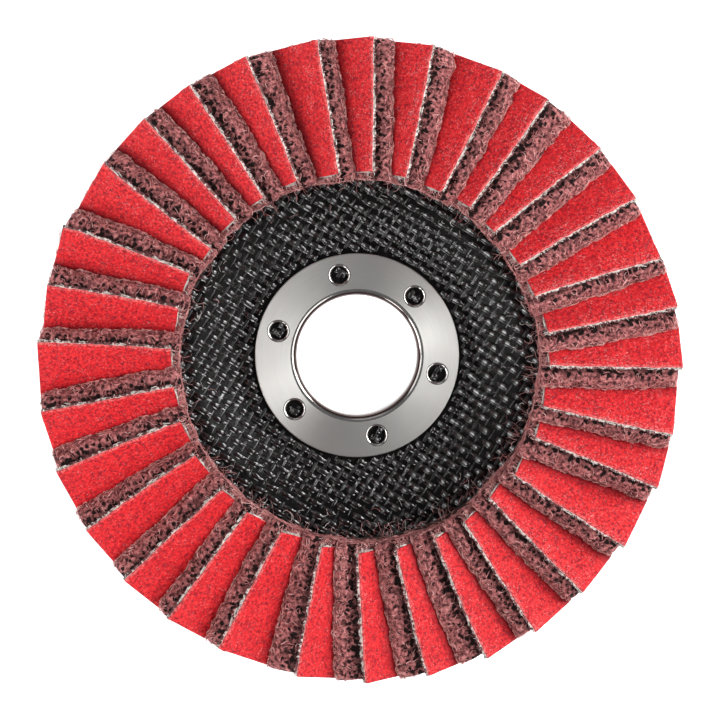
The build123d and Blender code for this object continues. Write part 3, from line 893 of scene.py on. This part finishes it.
def woven_face():
    b = Build()
    uvs = []
    # the outline across each kind of yarn: the one is a broad flat strand with a
    # thin one beside it, the other two strands that lie lower
    fams = ((148.0, PITCH_A, PITCH_B, 0.18, 0,
             np.array([(-0.63, -0.30), (-0.54, 0.100), (-0.24, 0.135), (0.18, 0.130), (0.26, -0.02), (0.34, 0.115), (0.54, 0.085), (0.63, -0.30)])),
            (58.0, PITCH_B, PITCH_A, 0.09, 1,
             np.array([(-0.38, -0.34), (-0.30, -0.11), (-0.14, -0.035), (0.0, -0.12), (0.14, -0.035), (0.30, -0.11), (0.38, -0.34)])))
    for heading, pitch, other, swing, par, outline in fams:
        a, hgt = outline[:, 0], outline[:, 1]
        m = len(a)
        h = math.radians(heading)
        d = np.array([math.cos(h), math.sin(h)])
        w = np.array([-math.sin(h), math.cos(h)])
        for n in range(-21, 22):
            off = (n + 0.5) * pitch + rng.normal(0, 0.05)
            s = np.arange(-34.2, 34.2, 0.29)
            drift = 0.10 * np.interp(s, np.linspace(-35, 35, 24), rng.normal(0, 1, 24))
            c = d[None] * s[:, None] + w[None] * (off + drift)[:, None]
            r = np.hypot(c[:, 0], c[:, 1])
            ok = (r > 19.0 + 0.25) & (r < 33.9)
            for hx, hy in HOLES:
                ok |= np.hypot(c[:, 0] - hx, c[:, 1] - hy) < 1.22
            cut = np.flatnonzero(np.diff(ok.astype(int))) + 1
            for part in np.split(np.arange(len(s)), cut):
                if not ok[part[0]] or len(part) < 4:
                    continue
                ss, cc, rr = s[part], c[part], r[part]
                wave = np.sin(np.pi * (ss / other) + np.pi * n)
                wave = np.tanh(2.1 * wave) / math.tanh(2.1)
                amp = swing * (1 + 0.25 * np.interp(ss, np.linspace(-35, 35, 50), rng.normal(0, 1, 50)))
                z = plate_front(rr) + 0.10 + amp * wave
                wide = 1 + 0.08 * wave + 0.09 * np.interp(ss, np.linspace(-35, 35, 70), rng.normal(0, 1, 70))
                nn = len(ss)
                # each crown leans a little its own way, along and across
                lean_x = 0.11 * np.interp(ss, np.linspace(-35, 35, 44), rng.normal(0, 1, 44))
                jit = rng.normal(0, 0.007 + 0.010 * par, (nn, m)) + 0.018 * field((nn, m), 1) + lean_x[:, None] * a[None]
                pts = np.empty((nn, m + 1, 3))
                pts[:, :m, :2] = cc[:, None] + (a[None] * wide[:, None])[..., None] * w
                pts[:, :m, 2] = z[:, None] + hgt[None] * (1 + 0.25 * wave[:, None]) + jit
                pts[:, m, :2] = cc
                pts[:, m, 2] = z - 0.24
                idx = np.arange(nn * (m + 1)).reshape(nn, m + 1)
                nx = np.roll(idx, -1, axis=1)
                quads = np.stack([idx[:-1], nx[:-1], nx[1:], idx[1:]], -1).reshape(-1, 4)
                base = b.n
                b.add(pts, quads, 0, True, weft=float(par))
                b.more([list(base + idx[0][::-1]), list(base + idx[-1])], 0, False)
                across = np.concatenate([a, [0.0]])
                uvs.append(np.stack([np.broadcast_to(across[None], (nn, m + 1)) + n * 3.1 + par * 200,
                                     np.broadcast_to(ss[:, None], (nn, m + 1))], -1).reshape(-1, 2))
    ob = b.make("woven_face", [RESIN])
    me = ob.data
    uv = np.concatenate(uvs)
    layer = me.uv_layers.new(name="yarn")
    corner = np.empty(len(me.loops), np.int32)
    me.loops.foreach_get("vertex_index", corner)
    layer.data.foreach_set("uv", uv[corner].ravel())
    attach(ob, "root")


def loose_fibres():
    """Fibres and threads that have come out of the flaps' inner ends and lie over the cloth."""
    b = Build()
    for n, kind, lo, hi in ((620, "fibre", 31.2, 33.3), (36, "fibre", 28.5, 31.6), (46, "thread", 28.6, 33.4)):
        k = 7
        a = rng.uniform(0, 2 * np.pi, n)
        r = rng.uniform(lo, hi, n)
        if kind == "fibre" and lo > 30:
            r = hi - np.abs(rng.normal(0, 0.55, n))
        head = rng.uniform(0, 2 * np.pi, n)
        step = rng.uniform(0.22, 0.46, n) if kind == "fibre" else rng.uniform(0.16, 0.40, n)
        ang = head[:, None] + rng.normal(0, 0.9, (n, 1)) * step[:, None] * np.arange(k) + np.cumsum(rng.normal(0, 0.3, (n, k)), 1)
        x = (r * np.sin(a))[:, None] + np.cumsum(np.cos(ang) * step[:, None], 1)
        y = (r * np.cos(a))[:, None] + np.cumsum(np.sin(ang) * step[:, None], 1)
        rr = np.hypot(x, y)
        low = plate_front(rr) + 0.42
        # near the flaps the fibres climb out of their inner ends
        climb = np.clip((rr - 30.6) / 2.6, 0, 1) ** 1.5
        z = low + climb * rng.uniform(1.5, 7.5, (n, 1)) + rng.normal(0, 0.06, rr.shape)
        path = np.stack([x, y, z], -1)
        if kind == "fibre":
            tubes(b, path, rng.uniform(0.020, 0.042, n), 0, tone=np.clip(rng.normal(0.78, 0.20, n), 0.1, 1.0))
        else:
            tubes(b, path, rng.uniform(0.035, 0.060, n), 1)
    ob = b.make("loose_fibres", [FIBRE, CLOTH])
    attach(ob, "root")


for i in range(COUNT):
    coated_flap(i)

for pair in range(COUNT // 2):
    b = Build()
    nonwoven_flap(b, 2 * pair)
    nonwoven_flap(b, 2 * pair + 1)
    name = "nonwoven_flaps_%02d_%02d" % (2 * pair + 1, 2 * pair + 2)
    ob = b.make(name + "_looks", [WEB, FIBRE])
    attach(ob, "root")
    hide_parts(name)

woven_face()
loose_fibres()


def dress(node, material):
    me = nodes[node].data
    if len(me.materials):
        for k in range(len(me.materials)):
            me.materials[k] = material
    else:
        me.materials.append(material)


dress("backing_plate", PLATE)
dress("flange_ring", STEEL)
dress("adhesive_bed", EPOXY)

# the flange ring's collar, its bend and the holes' edges are rolled smooth
ring = nodes["flange_ring"]
ring.data.materials.append(rolled_steel_material())
smooth_slot = len(ring.data.materials) - 1

for face in ring.data.polygons:
    x, y, z = (ring.matrix_world @ face.center) / MM
    up_facing = abs((ring.matrix_world.to_3x3() @ face.normal).z) > 0.99995
    in_hole = any(math.hypot(x - hx, y - hy) < 2.3 for hx, hy in HOLES)
    if (math.hypot(x, y) < 12.6 or in_hole) and not up_facing:
        face.material_index = smooth_slot


# ---------------------------------------------------------------------------
# floor, light and camera
# ---------------------------------------------------------------------------
def floor():
    me = bpy.data.meshes.new("floor")
    s = 4.0
    me.from_pydata([(-s, -s, -2e-5), (s, -s, -2e-5), (s, s, -2e-5), (-s, s, -2e-5)], [], [(0, 1, 2, 3)])
    ob = bpy.data.objects.new("floor", me)
    bpy.context.scene.collection.objects.link(ob)
    m, nt, s_ = new_material("light_table")
    s_.inputs["Base Color"].default_value = (0.92, 0.92, 0.92, 1.0)
    s_.inputs["Roughness"].default_value = 0.9
    s_.inputs["Specular IOR Level"].default_value = 0.1
    s_.inputs["Emission Color"].default_value = (1.0, 1.0, 1.0, 1.0)
    s_.inputs["Emission Strength"].default_value = 0.70
    me.materials.append(m)


def softbox(name, azimuth, elevation, distance, size, radiance, tint=(1.0, 1.0, 1.0)):
    """A square panel that faces the disc. azimuth is counter-clockwise from +X, in degrees."""
    light = bpy.data.lights.new(name, "AREA")
    light.shape = "RECTANGLE"
    light.size, light.size_y = size
    light.energy = radiance * math.pi * size[0] * size[1]
    light.color = tint
    ob = bpy.data.objects.new(name, light)
    a, e = math.radians(azimuth), math.radians(elevation)
    where = Vector((math.cos(a) * math.cos(e), math.sin(a) * math.cos(e), math.sin(e))) * distance
    ob.location = where
    ob.rotation_mode = "QUATERNION"
    ob.rotation_quaternion = (-where).to_track_quat("-Z", "Y")
    bpy.context.scene.collection.objects.link(ob)


floor()
for name, azimuth, elevation, side, radiance in (
        ("right_front", -45.0, 42.0, 0.34, 2.6), ("right_middle", -15.0, 42.0, 0.34, 2.9), ("right_back", 12.0, 42.0, 0.34, 3.5),
        ("right_low", 25.0, 28.0, 0.35, 8.9), ("left_back", 165.0, 42.0, 0.34, 2.0), ("left_middle", 192.0, 42.0, 0.34, 1.0),
        ("left_low", 205.0, 28.0, 0.35, 6.6), ("left_low_front", 238.0, 27.0, 0.20, 5.2), ("back", 100.0, 45.0, 0.34, 0.5)):
    softbox("softbox_" + name, azimuth, elevation, 0.75, (side, side), radiance)

world = bpy.data.worlds.new("studio")
bpy.context.scene.world = world
world.use_nodes = True
wt = world.node_tree
wt.nodes.clear()
w_out = wt.nodes.new("ShaderNodeOutputWorld")
w_bg = wt.nodes.new("ShaderNodeBackground")
w_tc = wt.nodes.new("ShaderNodeTexCoord")
w_sep = wt.nodes.new("ShaderNodeSeparateXYZ")
w_ramp = wt.nodes.new("ShaderNodeValToRGB")
w_ramp.color_ramp.elements[0].position = 0.0
w_ramp.color_ramp.elements[0].color = (0.93, 0.93, 0.93, 1.0)
w_ramp.color_ramp.elements[1].position = 0.42
w_ramp.color_ramp.elements[1].color = (0.176, 0.176, 0.180, 1.0)
wt.links.new(w_tc.outputs["Generated"], w_sep.inputs[0])
wt.links.new(w_sep.outputs[2], w_ramp.inputs[0])
wt.links.new(w_ramp.outputs[0], w_bg.inputs[0])
wt.links.new(w_bg.outputs[0], w_out.inputs[0])
w_bg.inputs[1].default_value = 1.0

camera = bpy.data.cameras.new("camera")
camera.sensor_width = 36.0
camera.lens = 143.3346
camera.clip_start, camera.clip_end = 0.01, 20.0
cam = bpy.data.objects.new("camera", camera)
bpy.context.scene.collection.objects.link(cam)
C = Vector((-17.903, 35.1463, 529.0)) * MM
T = Vector((-0.0085, 0.2206, 19.0)) * MM
d = (T - C).normalized()
right = d.cross(Vector((0, 1, 0))).normalized()
up = right.cross(d)
cam.matrix_world = Matrix(((right.x, up.x, -d.x, C.x), (right.y, up.y, -d.y, C.y), (right.z, up.z, -d.z, C.z), (0, 0, 0, 1)))
bpy.context.scene.camera = cam
bpy.context.scene.view_settings.view_transform = "Standard"
bpy.context.scene.view_settings.look = "None"
